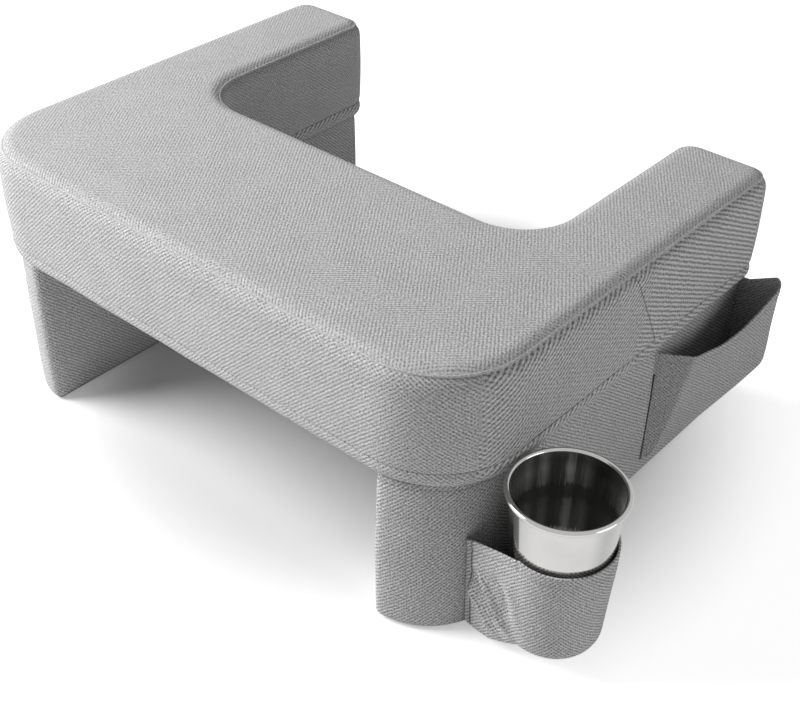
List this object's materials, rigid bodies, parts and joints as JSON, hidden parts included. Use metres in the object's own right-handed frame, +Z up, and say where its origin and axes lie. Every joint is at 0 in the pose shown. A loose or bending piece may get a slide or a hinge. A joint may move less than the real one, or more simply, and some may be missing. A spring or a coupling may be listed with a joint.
{
  "type": "foam arm tray",
  "caption": "U-shaped padded lap and arm tray on foam legs, in a zipped fabric cover, with a drink pocket holding a steel cup and a book pocket.",
  "frame": {"origin": "on the floor, under the middle of the overall box, which takes in the cup and the book pocket on the +X side", "axes": "+X across the tray towards the pockets, +Y from the front bar towards the sitter and the arm ends, +Z up"},
  "size_m": [0.8166, 0.54, 0.324],
  "materials": {
    "cover_fabric": "matte",
    "seam_fabric": "matte",
    "foam": "matte",
    "grip_base": "matte",
    "zip_tape": "matte",
    "zip_coil": "satin",
    "zip_metal": "satin",
    "cup_steel": "polished"
  },
  "bodies": {
    "tray": {"top_foam_core": "foam", "left_leg_foam": "foam", "right_leg_foam": "foam", "top_panel": "cover_fabric", "outer_side_band": "cover_fabric", "inner_side_band": "cover_fabric", "left_arm_end_panel": "cover_fabric", "right_arm_end_panel": "cover_fabric", "lower_edge_band": "cover_fabric", "underside_panel": "cover_fabric", "left_leg_wrap": "cover_fabric", "right_leg_wrap": "cover_fabric", "cup_pocket_wall": "cover_fabric", "cup_pocket_floor": "cover_fabric", "book_pocket_panel": "cover_fabric", "book_pocket_floor": "cover_fabric", "top_edge_welt": "seam_fabric", "cup_pocket_hem": "seam_fabric", "book_pocket_hem": "seam_fabric", "left_leg_base": "grip_base", "right_leg_base": "grip_base", "under_zip_front_tape": "zip_tape", "under_zip_front_coil": "zip_coil", "under_zip_rear_tape": "zip_tape", "under_zip_rear_coil": "zip_coil", "under_zip_stops": "zip_metal", "left_zip_outer_tape": "zip_tape", "left_zip_outer_coil": "zip_coil", "left_zip_inner_tape": "zip_tape", "left_zip_inner_coil": "zip_coil", "left_zip_stops": "zip_metal", "right_zip_outer_tape": "zip_tape", "right_zip_outer_coil": "zip_coil", "right_zip_inner_tape": "zip_tape", "right_zip_inner_coil": "zip_coil", "right_zip_stops": "zip_metal"},
    "cup": {"steel_cup": "cup_steel"},
    "under_slider": {"under_zip_slider": "zip_metal"},
    "under_pull": {"under_zip_pull": "zip_metal"},
    "left_slider": {"left_zip_slider": "zip_metal"},
    "left_pull": {"left_zip_pull": "zip_metal"},
    "right_slider": {"right_zip_slider": "zip_metal"},
    "right_pull": {"right_zip_pull": "zip_metal"}
  },
  "joints": [
    {"name": "cup_lift", "type": "slide", "parent": "tray", "child": "cup", "axis": [0, 0, 1], "range_m": [0, 0.125]},
    {"name": "under_zip_slide", "type": "slide", "parent": "tray", "child": "under_slider", "axis": [-1, 0, 0], "range_m": [0, 0.378]},
    {"name": "under_pull_swing", "type": "hinge", "parent": "under_slider", "child": "under_pull", "pos_m": [0.1307, -0.12, 0.18712], "axis": [0, 1, 0], "range_deg": [-80, 80]},
    {"name": "left_zip_slide", "type": "slide", "parent": "tray", "child": "left_slider", "axis": [0, 0, -1], "range_m": [0, 0.098]},
    {"name": "left_pull_lift", "type": "hinge", "parent": "left_slider", "child": "left_pull", "pos_m": [-0.3533, 0.26788, 0.147], "axis": [1, 0, 0], "range_deg": [0, 160]},
    {"name": "right_zip_slide", "type": "slide", "parent": "tray", "child": "right_slider", "axis": [0, 0, -1], "range_m": [0, 0.098]},
    {"name": "right_pull_lift", "type": "hinge", "parent": "right_slider", "child": "right_pull", "pos_m": [0.2367, 0.26788, 0.147], "axis": [1, 0, 0], "range_deg": [0, 160]}
  ]
}
